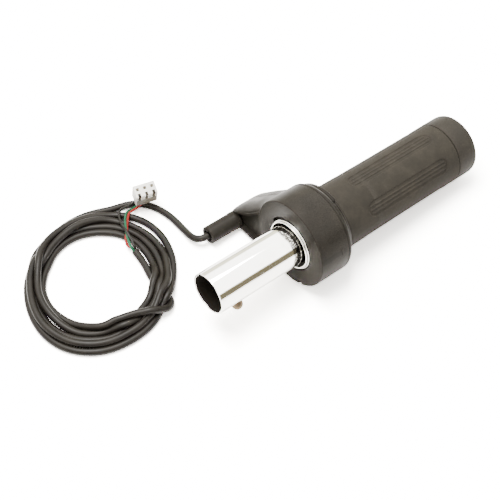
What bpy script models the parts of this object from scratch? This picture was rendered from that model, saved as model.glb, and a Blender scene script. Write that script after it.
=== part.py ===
"""Plug-in twist throttle grip with a hall-sensor lead.

Metres, +Z up.  The throttle lies on a table: the drum's rear rim, the end cap and the cable boss
touch it.  Most pieces are turned or cut about the tube's own axis, so they hang from one empty,
"tube_axis": along its X is the distance from the tube's mouth (called station below), Y is across,
towards the cable horn, and Z is up.
"""
from math import atan2, cos, exp, pi, radians, sin

import bmesh
import bpy
from mathutils import Matrix, Vector

MM = 0.001
GAP = 0.3                       # clearance between neighbouring pieces, mm

# ---- driving dimensions, mm ----------------------------------------------------------------
TUBE_R = 11.1                   # 7/8 inch bar tube
BORE_R = 10.1
TUBE_END = 157.5
DRUM_R = 24.4
DRUM_FRONT = 52.2
DRUM_SPLIT = 70.0               # front cup meets the rear cover
DRUM_REAR_RIM = 71.5            # last station at full radius, where the drum rests
DRUM_WALL = 2.2
COLLAR_END = 77.0
RECESS_R = 15.2                 # recess round the tube in the drum's front
SLEEVE_START = 77.4             # rubber sleeve
SLEEVE_END = 157.8
SLEEVE_R = 17.3
CAP_START = 158.2
CAP_END = 172.0
CAP_R = 17.35
CAP_REST = 169.0                # station where the cap rests
BUTTON_STATION = 12.5
BUTTON_ANGLE = radians(232)     # round the tube, from +Y towards +Z
BUTTON_R = 2.9
BUTTON_TOP = 15.3               # dome's height over the tube's axis
HORN_TIP = (42.5, -19.9)        # across, up
HORN_TIP_R = 4.3
HORN_FRONT = 52.5
HORN_BACK = 63.0
HORN_END = 70.6                 # back of the horn's cover
BOSS = (42.5, -20.9)            # the cable boss, parallel to the tube
BOSS_R = 4.9
BOSS_MOUTH = 34.2
BOSS_BORE_R = 3.3
HORN_ANGLE = atan2(HORN_TIP[1], HORN_TIP[0])
CABLE_R = 1.95
WIRE_R = 0.7
TURN_STEPS = 64

TILT = atan2(DRUM_R - CAP_R, CAP_REST - DRUM_REAR_RIM)
MOUTH_HEIGHT = DRUM_R * cos(TILT) + DRUM_REAR_RIM * sin(TILT)
CAP_EDGE_R = 15.2
FAR_X = CAP_END * cos(TILT) + CAP_EDGE_R * sin(TILT)
NEAR_X = -TUBE_R * sin(TILT)
ORIGIN_X = -(FAR_X + NEAR_X) / 2
BOSS_COLLAR_R = 5.1
BOSS_COLLAR_LIFT = 1.0
ORIGIN_Y = -(BOSS[0] + BOSS_COLLAR_R - DRUM_R) / 2

for old in list(bpy.data.objects):
    bpy.data.objects.remove(old, do_unlink=True)

PARTS = bpy.data.collections.new("throttle_grip")
CUTTERS = bpy.data.collections.new("cutters")
bpy.context.scene.collection.children.link(PARTS)
bpy.context.scene.collection.children.link(CUTTERS)

tube_axis = bpy.data.objects.new("tube_axis", None)
tube_axis.location = (ORIGIN_X * MM, ORIGIN_Y * MM, MOUTH_HEIGHT * MM)
tube_axis.rotation_euler = (0, TILT, 0)
PARTS.objects.link(tube_axis)

twist_axis = bpy.data.objects.new("twist_axis", None)
twist_axis.parent = tube_axis
PARTS.objects.link(twist_axis)

ALONG_AXIS = (0, pi / 2, 0)     # turns an object's own Z to the tube's axis


def material(name, color, roughness, metallic=0.0):
    mat = bpy.data.materials.new(name)
    mat.use_nodes = True
    shader = mat.node_tree.nodes["Principled BSDF"]
    shader.inputs["Base Color"].default_value = (*color, 1)
    shader.inputs["Roughness"].default_value = roughness
    shader.inputs["Metallic"].default_value = metallic
    return mat


CHROME = material("chrome", (0.80, 0.79, 0.76), 0.08, 1.0)
SPRING_STEEL = material("spring_steel", (0.62, 0.61, 0.58), 0.25, 1.0)
BLACK_PLASTIC = material("black_plastic", (0.035, 0.033, 0.030), 0.38)
INNER_PLASTIC = material("inner_plastic", (0.06, 0.06, 0.06), 0.5)
RUBBER = material("grip_rubber", (0.075, 0.070, 0.062), 0.7)
CAP_PLASTIC = material("cap_plastic", (0.07, 0.066, 0.06), 0.55)
SCREW_STEEL = material("screw_steel", (0.25, 0.25, 0.25), 0.35, 1.0)
MAGNET = material("magnet", (0.45, 0.45, 0.46), 0.3, 1.0)
BOARD = material("circuit_board", (0.03, 0.16, 0.07), 0.5)
SENSOR = material("sensor_body", (0.02, 0.02, 0.02), 0.45)
JACKET = material("cable_jacket", (0.03, 0.028, 0.025), 0.42)
WIRE_RED = material("red_insulation", (0.55, 0.05, 0.05), 0.4)
WIRE_GREEN = material("green_insulation", (0.03, 0.25, 0.13), 0.4)
WIRE_BLACK = material("black_insulation", (0.02, 0.02, 0.02), 0.4)
NYLON = material("white_nylon", (0.85, 0.83, 0.78), 0.45)
TIN = material("tinned_brass", (0.70, 0.66, 0.55), 0.3, 1.0)


# ---- modelling tools -----------------------------------------------------------------------
def place(obj, mat, parent, location, rotation):
    """Parent an object, place it in its parent's frame and give it its material."""
    obj.parent = parent
    obj.location = Vector(location) * MM
    obj.rotation_euler = rotation
    if mat is None:
        CUTTERS.objects.link(obj)
        obj.hide_render = True
        obj.display_type = "WIRE"
    else:
        PARTS.objects.link(obj)
        obj.data.materials.clear()
        obj.data.materials.append(mat)
    return obj


def smooth(mesh, angle=35):
    mesh.shade_smooth()
    mesh.set_sharp_from_angle(angle=radians(angle))


def turned(name, profile, mat, parent=tube_axis, location=(0, 0, 0), rotation=ALONG_AXIS,
           steps=TURN_STEPS, closed=True):
    """Spin (height, radius) points about the object's Z; the outer side runs top to bottom."""
    mesh = bpy.data.meshes.new(name)
    bm = bmesh.new()
    verts = [bm.verts.new((radius * MM, 0, height * MM)) for height, radius in profile]
    pairs = list(zip(verts, verts[1:]))
    if closed:
        pairs.append((verts[-1], verts[0]))
    for a, b in pairs:
        bm.edges.new((a, b))
    bm.to_mesh(mesh)
    bm.free()
    obj = place(bpy.data.objects.new(name, mesh), mat, parent, location, rotation)
    screw = obj.modifiers.new("turn", "SCREW")
    screw.steps = steps
    screw.render_steps = steps
    screw.use_merge_vertices = True
    screw.merge_threshold = 0.00001
    screw.use_smooth_shade = True
    return obj


def flat_outline(name, points, start, thickness, mat, parent=tube_axis):
    """A flat (across, up) outline, made thick along the tube's axis from a station."""
    curve = bpy.data.curves.new(name + "_outline", "CURVE")
    curve.dimensions = "2D"
    curve.fill_mode = "BOTH"
    curve.extrude = thickness / 2 * MM
    spline = curve.splines.new("POLY")
    spline.points.add(len(points) - 1)
    for point, (across, up) in zip(spline.points, points):
        point.co = (-up * MM, across * MM, 0, 1)
    spline.use_cyclic_u = True
    guide = bpy.data.objects.new(name + "_outline", curve)
    CUTTERS.objects.link(guide)
    mesh = curve_mesh(guide, name)
    centre = start + thickness / 2
    return place(bpy.data.objects.new(name, mesh), mat, parent, (centre, 0, 0), ALONG_AXIS)


def curve_mesh(guide, name):
    """The evaluated mesh of a curve object, its caps welded; the curve is removed."""
    bpy.context.view_layer.update()
    graph = bpy.context.evaluated_depsgraph_get()
    mesh = bpy.data.meshes.new_from_object(guide.evaluated_get(graph))
    mesh.name = name
    bm = bmesh.new()
    bm.from_mesh(mesh)
    bmesh.ops.remove_doubles(bm, verts=bm.verts, dist=0.000002)
    bmesh.ops.recalc_face_normals(bm, faces=bm.faces)
    bm.to_mesh(mesh)
    bm.free()
    curve = guide.data
    bpy.data.objects.remove(guide, do_unlink=True)
    bpy.data.curves.remove(curve)
    return mesh


def box(name, size, mat, parent=tube_axis, location=(0, 0, 0), rotation=(0, 0, 0)):
    mesh = bpy.data.meshes.new(name)
    bm = bmesh.new()
    scale = Matrix.Diagonal((size[0] * MM, size[1] * MM, size[2] * MM, 1))
    bmesh.ops.create_cube(bm, size=1.0, matrix=scale)
    bm.to_mesh(mesh)
    bm.free()
    return place(bpy.data.objects.new(name, mesh), mat, parent, location, rotation)


def rod(name, radius, start, end, mat, parent=tube_axis, location=(0, 0, 0),
        rotation=ALONG_AXIS, segments=32):
    """A cylinder along the object's Z, from start to end."""
    mesh = bpy.data.meshes.new(name)
    bm = bmesh.new()
    lift = Matrix.Translation((0, 0, (start + end) / 2 * MM))
    bmesh.ops.create_cone(bm, cap_ends=True, segments=segments, radius1=radius * MM,
                          radius2=radius * MM, depth=(end - start) * MM, matrix=lift)
    bm.to_mesh(mesh)
    bm.free()
    smooth(mesh)
    return place(bpy.data.objects.new(name, mesh), mat, parent, location, rotation)


def wire(name, points, radius, mat, parent=None):
    """A round wire or cord along points, with filled ends."""
    curve = bpy.data.curves.new(name, "CURVE")
    curve.dimensions = "3D"
    curve.bevel_depth = radius * MM
    curve.bevel_resolution = 2
    curve.use_fill_caps = True
    spline = curve.splines.new("POLY")
    spline.points.add(len(points) - 1)
    for point, co in zip(spline.points, points):
        point.co = (*(Vector(co) * MM), 1)
    return place(bpy.data.objects.new(name, curve), mat, parent, (0, 0, 0), (0, 0, 0))


def combine(obj, other, operation):
    mod = obj.modifiers.new(other.name, "BOOLEAN")
    mod.operation = operation
    mod.solver = "EXACT"
    mod.object = other


def bevel(obj, width, segments=2, angle=35):
    mod = obj.modifiers.new("round", "BEVEL")
    mod.width = width * MM
    mod.segments = segments
    mod.limit_method = "ANGLE"
    mod.angle_limit = radians(angle)


def smooth_curve(points, step):
    """Points about one step apart on a smooth curve (Catmull-Rom) through the given points."""
    ends = [points[0]] + list(points) + [points[-1]]
    knots = [Vector(p) for p in ends]
    result = []
    for a, b, c, d in zip(knots, knots[1:], knots[2:], knots[3:]):
        count = max(1, round((c - b).length / step))
        for i in range(count):
            t = i / count
            result.append(0.5 * (2 * b + (c - a) * t + (2 * a - 5 * b + 4 * c - d) * t ** 2
                                 + (3 * b - a - 3 * c + d) * t ** 3))
    return result + [knots[-1]]


def polar(radius, angle):
    return (radius * cos(angle), radius * sin(angle))


def radial(angle):
    """Rotation that turns an object's Z away from the tube's axis, at an angle round it."""
    return (angle - pi / 2, 0, 0)


# ---- bar tube, snap button and its clip ------------------------------------------------------
MOUTH_CHAMFER = 0.4
tube = turned("bar_tube", [
    (TUBE_END, TUBE_R), (MOUTH_CHAMFER, TUBE_R), (0, TUBE_R - MOUTH_CHAMFER),
    (0, BORE_R + 0.1), (MOUTH_CHAMFER, BORE_R), (TUBE_END, BORE_R)], CHROME)
button_hole = rod("button_hole", BUTTON_R + GAP, 5, 20, None, location=(BUTTON_STATION, 0, 0),
                  rotation=radial(BUTTON_ANGLE), segments=24)
combine(tube, button_hole, "DIFFERENCE")

button_axis = bpy.data.objects.new("button_axis", None)
button_axis.parent = tube_axis
button_axis.location = (BUTTON_STATION * MM, 0, 0)
button_axis.rotation_euler = radial(BUTTON_ANGLE)
PARTS.objects.link(button_axis)

DOME_HEIGHT = 2.6
dome = []
DOME_STEPS = 5
for i in range(DOME_STEPS + 1):
    turn = i / DOME_STEPS * pi / 2
    dome.append((BUTTON_TOP - DOME_HEIGHT * (1 - cos(turn)), BUTTON_R * sin(turn)))
BUTTON_FLANGE_R = 4.0
BUTTON_SEAT = 9.0
BUTTON_FOOT = 8.2
turned("snap_button", dome + [
    (BUTTON_SEAT, BUTTON_R), (BUTTON_SEAT, BUTTON_FLANGE_R), (BUTTON_FOOT, BUTTON_FLANGE_R),
    (BUTTON_FOOT, 0)], CHROME, parent=button_axis, rotation=(0, 0, 0), steps=24, closed=False)

CLIP_WIDTH = 6.0
CLIP_THICKNESS = 0.5
CLIP_LEG = BUTTON_FOOT - GAP - CLIP_THICKNESS / 2
CLIP_BEND_STATION = 36.0
CLIP_BEND_R = 2.5
CLIP_BACK = -8.7
clip_line = [(8.5, CLIP_LEG), (17.0, CLIP_LEG)]
BEND_STEPS = 8
for i in range(BEND_STEPS + 1):
    turn = pi / 2 - i / BEND_STEPS * pi
    clip_line.append((CLIP_BEND_STATION + CLIP_BEND_R * cos(turn), CLIP_BEND_R * sin(turn)))
clip_line += [(20.0, CLIP_BACK), (8.5, CLIP_BACK)]
clip_mesh = bpy.data.meshes.new("snap_clip")
bm = bmesh.new()
rows = []
for station, height in clip_line:
    along = (station - BUTTON_STATION) * MM
    rows.append([bm.verts.new((along, side * CLIP_WIDTH / 2 * MM, height * MM))
                 for side in (-1, 1)])
for first, second in zip(rows, rows[1:]):
    bm.faces.new((first[0], second[0], second[1], first[1]))
bmesh.ops.recalc_face_normals(bm, faces=bm.faces)
bm.to_mesh(clip_mesh)
bm.free()
clip = place(bpy.data.objects.new("snap_clip", clip_mesh), SPRING_STEEL, button_axis,
             (0, 0, 0), (0, 0, 0))
shell = clip.modifiers.new("thickness", "SOLIDIFY")
shell.thickness = CLIP_THICKNESS * MM
shell.offset = 0

# ---- retaining ring: two turns of wire round the tube in the drum's front recess -------------
RING_WIRE_R = 0.62
RING_TURNS = 2.0
RING_POINTS = 48
ring_path = []
for i in range(RING_POINTS + 1):
    part = i / RING_POINTS
    turn = radians(-105) + part * RING_TURNS * 2 * pi
    reach = 12.15 + 1.15 * part
    across, up = polar(reach, turn)
    ring_path.append((50.9 + 1.75 * part, across - 0.55 * part, up + 0.25 * part))
wire("retaining_ring", ring_path, RING_WIRE_R, SPRING_STEEL, parent=tube_axis)

# ---- drum: front cup with the horn and the cable boss ----------------------------------------
RECESS_FLOOR = 54.4
WEB_BACK = 56.8
HUB_END = 60.5
HUB_R = 13.4
HUB_BORE_R = TUBE_R + GAP
cup = turned("housing_front", [
    (DRUM_SPLIT, DRUM_R), (DRUM_FRONT + 0.7, DRUM_R), (DRUM_FRONT, DRUM_R - 0.5),
    (DRUM_FRONT, RECESS_R), (RECESS_FLOOR, RECESS_R), (RECESS_FLOOR, HUB_BORE_R),
    (HUB_END, HUB_BORE_R), (HUB_END, HUB_R), (WEB_BACK, HUB_R),
    (WEB_BACK, DRUM_R - DRUM_WALL), (DRUM_SPLIT, DRUM_R - DRUM_WALL)], BLACK_PLASTIC)


def horn_outline(inset):
    """The horn's outline round the drum and the tip; the top edge sags between the two."""
    drum = DRUM_R - 0.6
    tip = HORN_TIP_R - inset
    lift = radians(35)
    tip_lift = radians(50)
    start = Vector(polar(drum - inset, lift))
    end = Vector(HORN_TIP) + Vector(polar(tip, tip_lift))
    leave = Vector((sin(lift), -cos(lift))) * 30
    arrive = Vector((sin(tip_lift), -cos(tip_lift))) * 30
    top = []
    for i in range(10):
        t = i / 10
        top.append((2 * t ** 3 - 3 * t ** 2 + 1) * start + (t ** 3 - 2 * t ** 2 + t) * leave
                   + (3 * t ** 2 - 2 * t ** 3) * end + (t ** 3 - t ** 2) * arrive)
    points = [tuple(p) for p in top]
    for i in range(9):
        around = tip_lift - i / 8 * radians(145)
        across, up = polar(tip, around)
        points.append((HORN_TIP[0] + across, HORN_TIP[1] + up))
    for i in range(7):
        points.append(polar(drum - inset, radians(-85 + 20 * i)))
    return points


horn = flat_outline("horn_body", horn_outline(0), HORN_FRONT, HORN_BACK + 3 - HORN_FRONT, None)
bevel(horn, 2.2, 3, 60)
horn_trim = box("horn_trim", (6, 90, 90), None, location=(HORN_BACK + 3, 20, 0))
combine(horn, horn_trim, "DIFFERENCE")
combine(cup, horn, "UNION")
boss = turned("boss_body", [
    (51.7, 0), (51.7, BOSS_R), (BOSS_MOUTH + 0.5, BOSS_R), (BOSS_MOUTH, BOSS_R - 0.5),
    (BOSS_MOUTH, 0)], None, location=(0, BOSS[0], BOSS[1]), steps=32, closed=False)
collar = turned("boss_collar", [
    (60.2, 0), (60.2, BOSS_COLLAR_R), (51.9, BOSS_COLLAR_R), (51.2, BOSS_COLLAR_R - 0.7),
    (51.2, 0)], None, location=(0, BOSS[0], BOSS[1] + BOSS_COLLAR_LIFT), steps=32, closed=False)
pocket = flat_outline("horn_pocket", horn_outline(2.6), HORN_FRONT - 2, 4.4, None)
drum_keep = rod("pocket_limit", DRUM_R, HORN_FRONT - 3, HORN_FRONT + 5, None, segments=64)
combine(pocket, drum_keep, "DIFFERENCE")
combine(cup, pocket, "DIFFERENCE")
combine(cup, boss, "UNION")
combine(cup, collar, "UNION")

inside = rod("drum_inside", DRUM_R - DRUM_WALL, WEB_BACK, DRUM_SPLIT + 3, None, segments=64)
hub_keep = rod("hub_keep", HUB_R, WEB_BACK - 1, HUB_END, None, segments=64)
combine(inside, hub_keep, "DIFFERENCE")
combine(cup, inside, "DIFFERENCE")

GRUB_STATION = 56.4
GRUB_R = 1.9
grub_boss = rod("grub_boss", 3.4, 12.5, DRUM_R - 0.8, None, location=(GRUB_STATION + 0.6, 0, 0),
                rotation=radial(BUTTON_ANGLE), segments=24)
combine(cup, grub_boss, "UNION")
grub_hole = rod("grub_hole", GRUB_R + GAP, 8, 30, None, location=(GRUB_STATION, 0, 0),
                rotation=radial(BUTTON_ANGLE), segments=20)
combine(cup, grub_hole, "DIFFERENCE")

COVER_SCREW_ANGLES = (radians(265), radians(30))
COVER_SCREW_CIRCLE = 20.9
SCREW_R = 1.0
for number, angle in enumerate(COVER_SCREW_ANGLES, 1):
    across, up = polar(COVER_SCREW_CIRCLE, angle)
    post = rod(f"screw_post_{number}", 2.2, WEB_BACK - 1, DRUM_SPLIT - 0.2, None,
               location=(0, across, up), segments=16)
    combine(cup, post, "UNION")
    pilot = rod(f"screw_pilot_{number}", SCREW_R + GAP, WEB_BACK + 2, DRUM_SPLIT + 3, None,
                location=(0, across, up), segments=12)
    combine(cup, pilot, "DIFFERENCE")

CHANNEL_FLOOR = 57.6
CHANNEL_PARTS = (("lead_hole", 18.5, 46.4, 6.0, CHANNEL_FLOOR, 61.0),
                 ("lead_channel", DRUM_R + 1.2, 46.9, 6.8, CHANNEL_FLOOR - 0.4, 68.0))
for name, begin, end, width, floor, top in CHANNEL_PARTS:
    across, up = polar((begin + end) / 2, HORN_ANGLE)
    channel = box(name, (top - floor, end - begin, width), None,
                  location=((floor + top) / 2, across, up), rotation=(HORN_ANGLE, 0, 0))
    combine(cup, channel, "DIFFERENCE")
boss_bore = rod("boss_bore", BOSS_BORE_R, BOSS_MOUTH - 2, CHANNEL_FLOOR + 0.6, None,
                location=(0, BOSS[0], BOSS[1]), segments=24)
combine(cup, boss_bore, "DIFFERENCE")

LEAD_SCREW = polar(32, radians(-36))
lead_pilot = rod("lead_pilot", SCREW_R + GAP, 56.5, HORN_BACK + 3, None,
                 location=(0, LEAD_SCREW[0], LEAD_SCREW[1]), segments=12)
combine(cup, lead_pilot, "DIFFERENCE")

# ---- lead cover: the shallow lid that closes the horn from behind ----------------------------
COVER_START = HORN_BACK + GAP
COVER_DEPTH = HORN_END - COVER_START
lid = flat_outline("lead_cover", horn_outline(0), HORN_BACK - 4, HORN_END - HORN_BACK + 4,
                   BLACK_PLASTIC)
bevel(lid, 2.2, 3, 60)
lid_trim = box("lid_trim", (10, 90, 90), None, location=(COVER_START - 5, 20, 0))
combine(lid, lid_trim, "DIFFERENCE")
lid_limit = rod("lid_limit", DRUM_R + GAP, 55, 75, None, segments=64)
combine(lid, lid_limit, "DIFFERENCE")
lid_pocket = flat_outline("lid_pocket", horn_outline(2.0), COVER_START - 2, COVER_DEPTH, None)
pocket_limit = rod("lid_pocket_limit", DRUM_R + 2, 55, 75, None, segments=64)
combine(lid_pocket, pocket_limit, "DIFFERENCE")
combine(lid, lid_pocket, "DIFFERENCE")
LEAD_SEAT = 67.0
lid_post = rod("lid_post", 3.3, COVER_START + 0.2, HORN_END - 1, None,
               location=(0, LEAD_SCREW[0], LEAD_SCREW[1]), segments=20)
combine(lid, lid_post, "UNION")
lid_hole = rod("lid_hole", SCREW_R + GAP, 50, 75, None,
               location=(0, LEAD_SCREW[0], LEAD_SCREW[1]), segments=12)
combine(lid, lid_hole, "DIFFERENCE")
lid_seat = rod("lid_seat", 2.25, LEAD_SEAT, 75, None,
               location=(0, LEAD_SCREW[0], LEAD_SCREW[1]), segments=20)
combine(lid, lid_seat, "DIFFERENCE")


def cross_head_screw(name, station, across, up, length, parent=tube_axis):
    """A small pan-head screw; its head's underside is at the station, its shank runs forward."""
    head_r = 1.9
    head_h = 1.3
    screw = turned(name, [
        (head_h, 0), (head_h, head_r * 0.6), (head_h * 0.7, head_r * 0.9), (0.25, head_r),
        (0, head_r), (0, SCREW_R), (-length + 1, SCREW_R), (-length, 0.3), (-length, 0)],
        SCREW_STEEL, parent=parent, location=(station, across, up), steps=20, closed=False)
    for turn in (0, pi / 2):
        slot = box(f"{name}_slot_{round(turn)}", (1.2, 2.2, 0.5), None, parent=parent,
                   location=(station + head_h, across, up), rotation=(turn, 0, 0))
        combine(screw, slot, "DIFFERENCE")
    return screw


cross_head_screw("lead_cover_screw", LEAD_SEAT + GAP, *LEAD_SCREW, 9.5)

# ---- drum: rear cover with its collar --------------------------------------------------------
COVER_BORE_R = 14.0
REAR_FACE = DRUM_SPLIT + GAP
rear = turned("housing_rear", [
    (COLLAR_END, 18.7), (COLLAR_END - 0.5, 19.8), (75.0, 20.7), (73.9, 22.3), (72.6, 23.8),
    (DRUM_REAR_RIM, DRUM_R), (REAR_FACE, DRUM_R), (REAR_FACE, COVER_BORE_R),
    (COLLAR_END, COVER_BORE_R)], BLACK_PLASTIC)
sector = [polar(18.2, radians(a)) for a in range(103, 12, -10)]
sector += [polar(22.6, radians(a)) for a in range(13, 104, 10)]
shoulder = flat_outline("rear_shoulder", sector, 72.0, 4.1, None)
bevel(shoulder, 0.6, 2, 50)
combine(rear, shoulder, "UNION")
HEAD_SEAT = 73.2
for number, angle in enumerate(COVER_SCREW_ANGLES, 1):
    across, up = polar(COVER_SCREW_CIRCLE, angle)
    seat = rod(f"head_seat_{number}", 2.25, HEAD_SEAT, COLLAR_END + 2, None,
               location=(0, across, up), segments=20)
    combine(rear, seat, "DIFFERENCE")
    hole = rod(f"cover_hole_{number}", SCREW_R + GAP, 68, 75, None,
               location=(0, across, up), segments=12)
    combine(rear, hole, "DIFFERENCE")
    cross_head_screw(f"cover_screw_{number}", HEAD_SEAT + GAP, across, up, 12.0)

grub = turned("clamp_screw", [
    (17.4, 0), (17.4, GRUB_R), (12.1, GRUB_R), (TUBE_R + GAP, 1.0), (TUBE_R + GAP, 0)],
    SCREW_STEEL, location=(GRUB_STATION, 0, 0), rotation=radial(BUTTON_ANGLE), steps=20,
    closed=False)
grub_socket = rod("grub_socket", 1.15, 15.6, 18.5, None, location=(GRUB_STATION, 0, 0),
                  rotation=radial(BUTTON_ANGLE), segments=6)
combine(grub, grub_socket, "DIFFERENCE")

# ---- inside the drum: spring, board, sensor and its wires ------------------------------------
SPRING_R = 14.7
SPRING_WIRE_R = 0.6
SPRING_TURNS = 3
SPRING_POINTS = 16
SPRING_START = 61.3
SPRING_PITCH = 1.4
spring_path = []
for i in range(SPRING_TURNS * SPRING_POINTS + 1):
    part = i / SPRING_POINTS
    across, up = polar(SPRING_R, radians(20) + part * 2 * pi)
    spring_path.append((SPRING_START + SPRING_PITCH * part, across, up))
wire("return_spring", spring_path, SPRING_WIRE_R, SPRING_STEEL, parent=tube_axis)

across, up = polar(18.7, HORN_ANGLE)
box("sensor_board", (1.0, 4.0, 8.0), BOARD, location=(59.4, across, up),
    rotation=(HORN_ANGLE, 0, 0))
across, up = polar(17.4, HORN_ANGLE)
box("hall_sensor", (1.6, 3.2, 4.2), SENSOR, location=(61.1, across, up),
    rotation=(HORN_ANGLE, 0, 0))

side_step = Vector((-sin(HORN_ANGLE), cos(HORN_ANGLE)))
INNER_WIRES = (("lead_red", WIRE_RED, -1.75), ("lead_green", WIRE_GREEN, 0.0),
               ("lead_black", WIRE_BLACK, 1.75))
for name, mat, offset in INNER_WIRES:
    shift_y, shift_z = side_step * offset
    tip_y, tip_z = polar(42.0, HORN_ANGLE)
    mid_y, mid_z = polar(33.0, HORN_ANGLE)
    in_y, in_z = polar(21.4, HORN_ANGLE)
    route = [(51.0, BOSS[0] + shift_y, BOSS[1] + shift_z),
             (56.5, BOSS[0] - 0.2 + shift_y, BOSS[1] + shift_z),
             (59.8, tip_y + shift_y, tip_z + shift_z),
             (60.2, mid_y + shift_y, mid_z + shift_z),
             (59.6, in_y + shift_y, in_z + shift_z)]
    wire(name, smooth_curve(route, 3.0), WIRE_R, mat, parent=tube_axis)

# ---- twisting pieces: throttle tube, magnets and the rubber sleeve ---------------------------
ROTOR_BORE_R = TUBE_R + GAP
ROTOR_R = 13.4
FLANGE_R = 18.2
FLANGE_START = 66.3
FLANGE_END = 69.4
ROTOR_START = 60.9
rotor = turned("throttle_tube", [
    (157.3, ROTOR_R), (FLANGE_END, ROTOR_R), (FLANGE_END, FLANGE_R), (FLANGE_START, FLANGE_R),
    (FLANGE_START, ROTOR_R), (ROTOR_START, ROTOR_R), (ROTOR_START, ROTOR_BORE_R),
    (157.3, ROTOR_BORE_R)], INNER_PLASTIC, parent=twist_axis)
MAGNET_CIRCLE = 15.9
MAGNET_R = 1.7
for number, angle in enumerate((HORN_ANGLE - radians(32), HORN_ANGLE + radians(32)), 1):
    across, up = polar(MAGNET_CIRCLE, angle)
    seat = rod(f"magnet_seat_{number}", MAGNET_R + GAP, FLANGE_START - 1, 68.6, None,
               parent=twist_axis, location=(0, across, up), segments=16)
    combine(rotor, seat, "DIFFERENCE")
    rod(f"magnet_{number}", MAGNET_R, FLANGE_START + 0.1, 68.3, MAGNET, parent=twist_axis,
        location=(0, across, up), segments=16)

turned("grip_sleeve", [
    (SLEEVE_END, SLEEVE_R - 0.4), (SLEEVE_END - 0.5, SLEEVE_R + 0.05), (150.0, SLEEVE_R - 0.1),
    (118.0, SLEEVE_R), (96.0, SLEEVE_R + 0.1), (84.0, SLEEVE_R + 0.2),
    (SLEEVE_START + 0.4, SLEEVE_R + 0.5), (SLEEVE_START, SLEEVE_R + 0.1),
    (SLEEVE_START, ROTOR_R + GAP), (SLEEVE_END, ROTOR_R + GAP)], RUBBER, parent=twist_axis)

# ---- end cap, pressed into the tube's outer end ----------------------------------------------
STEM_R = BORE_R - GAP
turned("end_cap", [
    (CAP_END, 0), (CAP_END, CAP_EDGE_R), (171.6, 16.3), (170.7, 17.05), (CAP_REST, CAP_R),
    (CAP_START + 0.4, CAP_R), (CAP_START, CAP_R - 0.4), (CAP_START, STEM_R), (149.0, STEM_R),
    (148.0, STEM_R - 1), (148.0, 0)], CAP_PLASTIC, closed=False)

# ---- bushing that holds the cable in the boss ------------------------------------------------
turned("cable_bushing", [
    (48.0, BOSS_BORE_R - GAP), (35.0, BOSS_BORE_R - GAP), (35.0, CABLE_R + GAP),
    (48.0, CABLE_R + GAP)], RUBBER, location=(0, BOSS[0], BOSS[1]), steps=24)

# ---- free cable: the lead to the coil, the coil's outer shape and the tail -------------------
axis_frame = Matrix.Translation((ORIGIN_X, ORIGIN_Y, MOUTH_HEIGHT)) @ Matrix.Rotation(TILT, 4, "Y")
inside_end = axis_frame @ Vector((50.4, *BOSS))
mouth = axis_frame @ Vector((BOSS_MOUTH, *BOSS))
LEAD_ROUTE = [(-57.5, 31.1, 6.1), (-60.6, 32.7, 5.5), (-61.9, 36.0, 4.7), (-61.8, 41.0, 3.6),
              (-61.0, 47.0, 2.5), (-60.4, 53.0, 2.1), (-60.5, 59.0, 2.0), (-61.6, 64.8, 2.0),
              (-64.2, 70.4, 2.0), (-68.2, 75.2, 2.0), (-72.6, 78.9, 2.0)]
wire("cable_lead", smooth_curve([inside_end, mouth] + LEAD_ROUTE, 4.5), CABLE_R, JACKET)

COIL_HEIGHT = 6.4
COIL_OUTER = (-111.1, 46.9, 46.6, 38.5, radians(41.3))   # centre x, y, half axes, turn
COIL_INNER = (-112.3, 47.0, 30.8, 29.2, radians(63))
BIGHT_ANGLE = radians(-65)
BIGHT_REACH = 4.6
BIGHT_SPREAD = radians(11)


def oval(shape, angle, bight=0.0):
    """A point of the coil's oval; the bight is where the tail loops out past the turns."""
    x, y, major, minor, turn = shape
    out = bight * exp(-((angle - BIGHT_ANGLE) / BIGHT_SPREAD) ** 2)
    local = angle - turn
    reach = major * minor / ((minor * cos(local)) ** 2 + (major * sin(local)) ** 2) ** 0.5 + out
    return (x + reach * cos(angle), y + reach * sin(angle))


OVAL_POINTS = 56
RIM = ((2.0, 0.0), (0.6, 0.7), (0.0, 2.2), (0.0, 4.2), (0.9, 5.7), (2.9, COIL_HEIGHT))
coil_mesh = bpy.data.meshes.new("cable_coil")
bm = bmesh.new()
sections = []
for i in range(OVAL_POINTS):
    angle = -pi + (i + 0.5) / OVAL_POINTS * 2 * pi
    outer = Vector(oval(COIL_OUTER, angle, BIGHT_REACH))
    inner = Vector(oval(COIL_INNER, angle))
    inward = Vector((cos(angle), sin(angle)))
    section = [(outer - inward * inset, height) for inset, height in RIM]
    section += [(inner + inward * inset, height) for inset, height in reversed(RIM)]
    sections.append([bm.verts.new((p.x * MM, p.y * MM, height * MM)) for p, height in section])
for here, after in zip(sections, sections[1:] + sections[:1]):
    for k in range(len(here)):
        n = (k + 1) % len(here)
        bm.faces.new((here[k], here[n], after[n]))
        bm.faces.new((here[k], after[n], after[k]))
bmesh.ops.recalc_face_normals(bm, faces=bm.faces)
bm.to_mesh(coil_mesh)
bm.free()
smooth(coil_mesh, 50)
place(bpy.data.objects.new("cable_coil", coil_mesh), JACKET, None, (0, 0, 0.05), (0, 0, 0))

TAIL_ROUTE = [(-91.0, 33.4, 2.0), (-89.9, 38.5, 2.0), (-88.7, 44.0, 2.1), (-87.6, 49.6, 2.4)]
wire("cable_tail", smooth_curve(TAIL_ROUTE, 4.0), CABLE_R, JACKET)

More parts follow.
